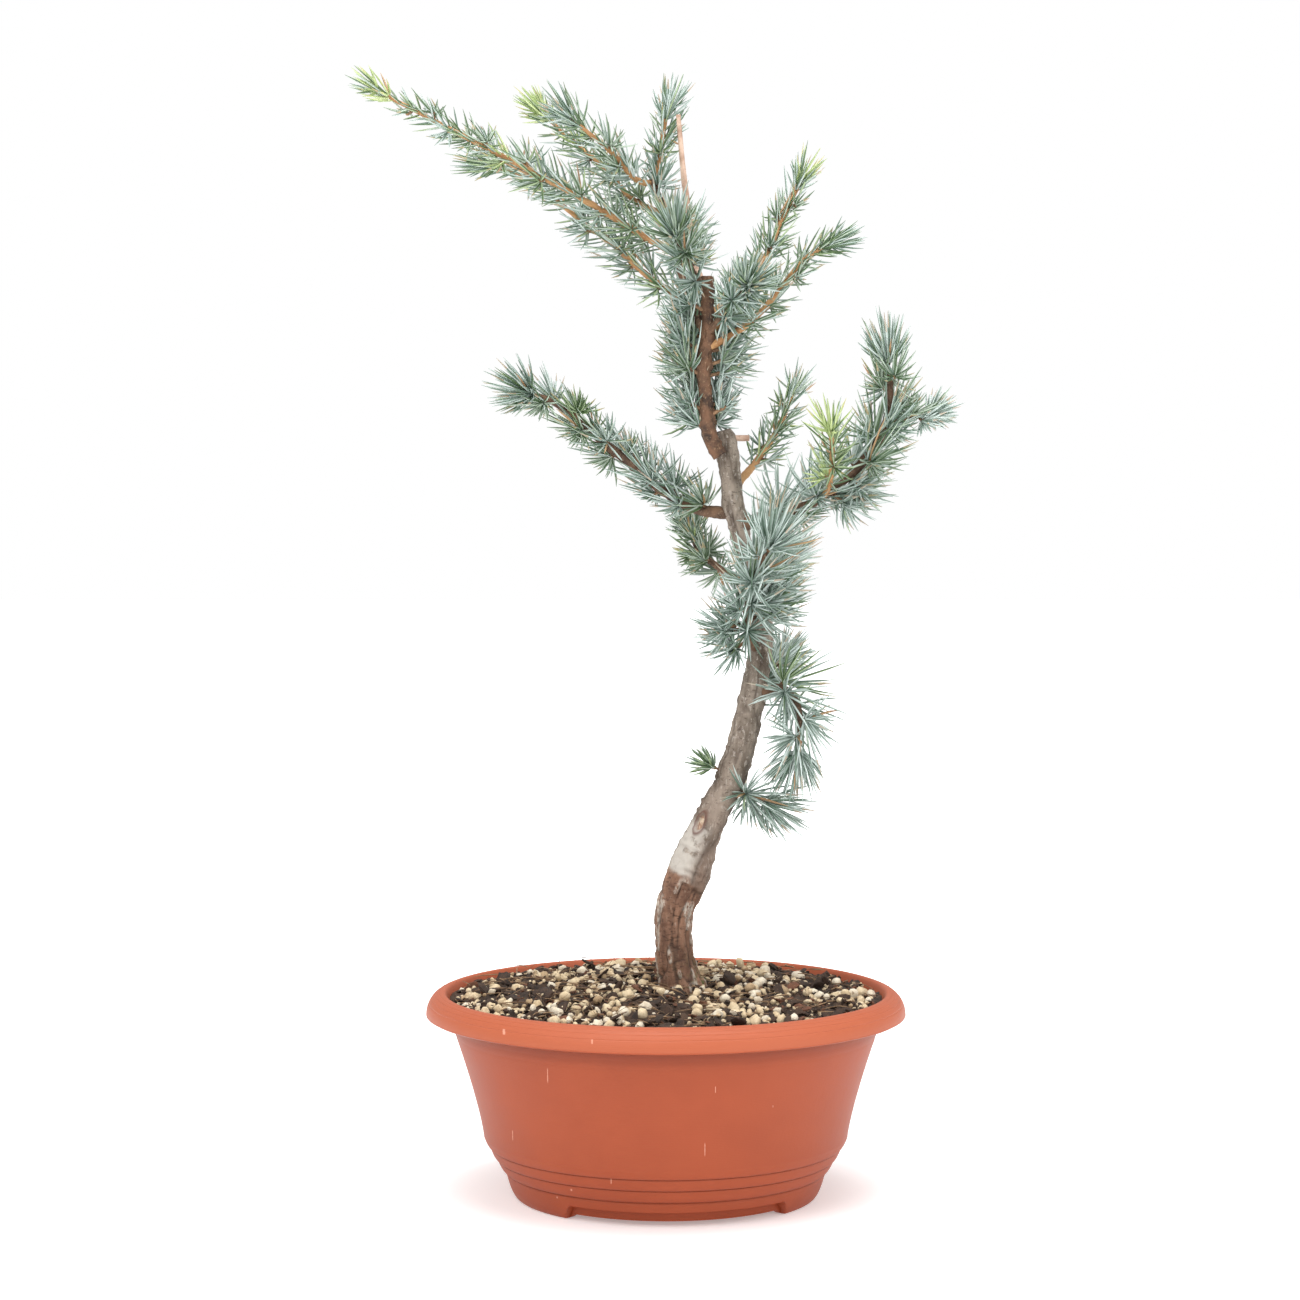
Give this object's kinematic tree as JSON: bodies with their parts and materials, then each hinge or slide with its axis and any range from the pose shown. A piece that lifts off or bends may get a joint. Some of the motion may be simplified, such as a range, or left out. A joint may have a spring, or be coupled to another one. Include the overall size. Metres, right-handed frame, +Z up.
{
  "type": "potted conifer",
  "caption": "Young blue atlas cedar with a bent trunk and tufted needles, growing in a round terracotta-coloured plastic bowl of pumice potting mix.",
  "frame": {"origin": "on the floor, on the axis of the bowl", "axes": "+Z up along the bowl's axis, -Y towards the front of the plant, +X to its right as seen from the front"},
  "size_m": [0.2345, 0.2, 0.4591],
  "materials": {
    "bowl": "satin",
    "soil": "matte",
    "bark": "matte",
    "twig": "matte",
    "dead_wood": "matte",
    "needles": "satin"
  },
  "bodies": {
    "root": {"bowl": "bowl", "dead_leader_wood": "dead_wood", "dead_stub_wood": "dead_wood", "front_candle_needles": "needles", "front_lower_left_needles": "needles", "front_lower_needles": "needles", "front_lower_right_needles": "needles", "front_lower_wood": "twig", "front_short_needles": "needles", "front_tuft_needles": "needles", "leader": "bark", "leader_left_lower_needles": "needles", "leader_left_upper_needles": "needles", "leader_right_lower_needles": "needles", "leader_right_upper_needles": "needles", "left_bough_wood": "twig", "left_inner_needles": "needles", "left_middle_needles": "needles", "left_rosette_needles": "needles", "left_tip_needles": "needles", "low_rosette_needles": "needles", "lower_long_inner_needles": "needles", "lower_long_outer_needles": "needles", "lower_long_wood": "twig", "potting_mix": "soil", "rear_high_needles": "needles", "rear_leader_needles": "needles", "rear_left_needles": "needles", "rear_left_wood": "twig", "rear_low_needles": "needles", "rear_middle_needles": "needles", "rear_right_needles": "needles", "rear_right_wood": "twig", "rear_short_needles": "needles", "rear_short_wood": "twig", "rear_top_needles": "needles", "right_bough_wood": "twig", "right_fan_needles": "needles", "right_front_needles": "needles", "right_inner_needles": "needles", "right_low_lower_needles": "needles", "right_low_upper_needles": "needles", "right_low_wood": "twig", "right_lower_needles": "needles", "right_lower_wood": "twig", "right_outer_needles": "needles", "right_top_needles": "needles", "right_twig_needles": "needles", "right_upper_needles": "needles", "right_upper_wood": "twig", "spire_needles": "needles", "top_bough_wood": "twig", "top_right_needles": "needles", "trunk": "bark", "upper_long_inner_needles": "needles", "upper_long_outer_needles": "needles", "upper_long_wood": "twig"}
  },
  "joints": []
}
